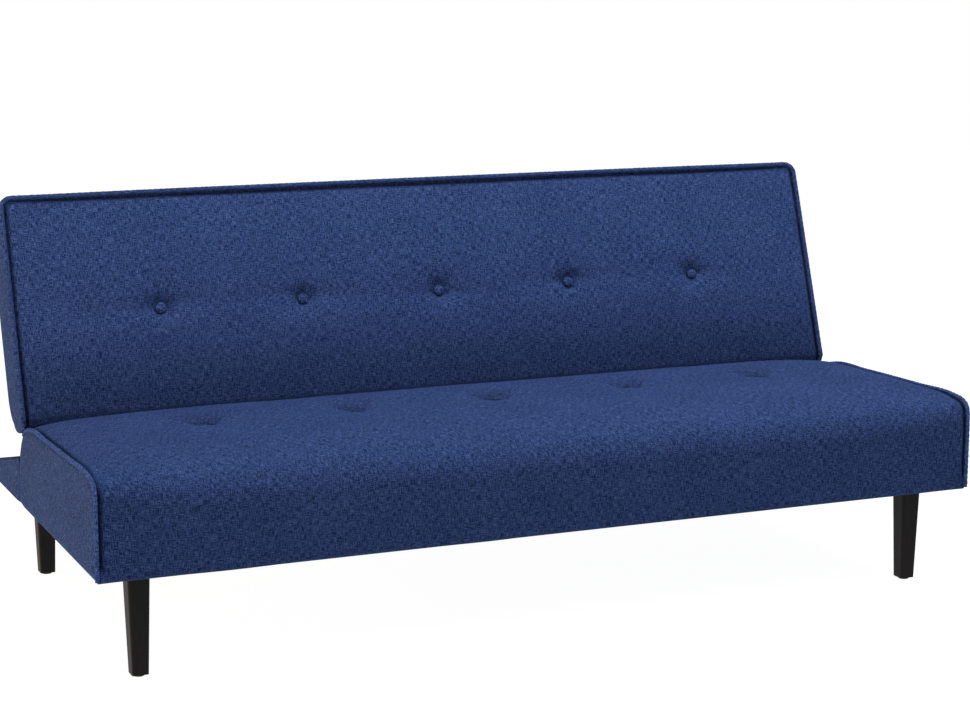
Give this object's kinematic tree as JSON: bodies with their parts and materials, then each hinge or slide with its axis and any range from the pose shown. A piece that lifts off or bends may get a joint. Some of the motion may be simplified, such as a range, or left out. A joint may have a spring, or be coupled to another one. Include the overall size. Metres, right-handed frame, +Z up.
{
  "type": "futon sofa bed",
  "caption": "Armless click-clack futon sofa bed in woven blue fabric, with a button-tufted backrest that reclines flat to make a bed, on square tapered dark wood legs.",
  "frame": {"origin": "on the floor under the middle of the sofa, at the bottom centre of its bounding box", "axes": "+X along the sofa to its right end as a person facing it sees it, -Y towards the front, +Z up"},
  "size_m": [1.8, 0.86, 0.7974],
  "materials": {
    "upholstery": "matte",
    "piping": "matte",
    "foam": "matte",
    "felt": "matte",
    "wadding": "matte",
    "lining": "matte",
    "twine": "matte",
    "webbing": "matte",
    "frame_wood": "matte",
    "panel_board": "matte",
    "leg_wood": "satin",
    "glide_plastic": "matte",
    "washer_plastic": "satin",
    "spring_steel": "satin",
    "plated_steel": "satin",
    "hinge_steel": "satin"
  },
  "bodies": {
    "base": {"seat_cover": "upholstery", "base_rear_cover": "upholstery", "seat_buttons": "upholstery", "seat_welt_left": "piping", "seat_welt_right": "piping", "frame_wadding": "wadding", "seat_foam": "foam", "spring_pad": "felt", "dust_cover": "lining", "seat_button_twine": "twine", "front_rail": "frame_wood", "seat_rear_rail": "frame_wood", "base_rear_rail": "frame_wood", "cross_rails": "frame_wood", "side_rail_left": "frame_wood", "side_rail_right": "frame_wood", "leg_corner_blocks": "frame_wood", "seat_springs": "spring_steel", "spring_clips": "plated_steel", "leg_t_nuts": "plated_steel", "hanger_bolts": "plated_steel", "foot_glides": "glide_plastic", "hinge_washers": "washer_plastic", "leg_front_left": "leg_wood", "leg_front_right": "leg_wood", "leg_rear_left": "leg_wood", "leg_rear_right": "leg_wood", "hinge_outer_plate_left": "hinge_steel", "hinge_outer_plate_right": "hinge_steel", "hinge_inner_plate_left": "hinge_steel", "hinge_inner_plate_right": "hinge_steel", "hinge_pivot_pins": "plated_steel", "pawl_pins": "plated_steel", "pawl_springs": "spring_steel", "hinge_spacer_rivets": "plated_steel", "hinge_plate_screws": "plated_steel"},
    "backrest": {"back_cover": "upholstery", "back_buttons": "upholstery", "back_welt": "piping", "back_foam": "foam", "back_button_twine": "twine", "back_webbing": "webbing", "back_bottom_rail": "frame_wood", "back_top_rail": "frame_wood", "back_mid_stiles": "frame_wood", "back_stile_left": "frame_wood", "back_stile_right": "frame_wood", "back_panel_board": "panel_board", "hinge_arm_left": "hinge_steel", "hinge_arm_right": "hinge_steel", "hinge_arm_screws": "plated_steel"},
    "pawl_left": {"pawl_left": "plated_steel"},
    "pawl_right": {"pawl_right": "plated_steel"}
  },
  "joints": [
    {"name": "backrest_recline", "type": "hinge", "parent": "base", "child": "backrest", "pos_m": [0, 0.19745, 0.32064], "axis": [-1, 0, 0], "range_deg": [-5, 70.94]},
    {"name": "pawl_left_pivot", "type": "hinge", "parent": "base", "child": "pawl_left", "pos_m": [-0.854, 0.18769, 0.28517], "axis": [1, 0, 0], "range_deg": [-12, 0], "stiffness_Nm_per_rad": 0.02, "springref_deg": 17.19},
    {"name": "pawl_right_pivot", "type": "hinge", "parent": "base", "child": "pawl_right", "pos_m": [0.854, 0.18769, 0.28517], "axis": [1, 0, 0], "range_deg": [-12, 0], "stiffness_Nm_per_rad": 0.02, "springref_deg": 17.19}
  ]
}
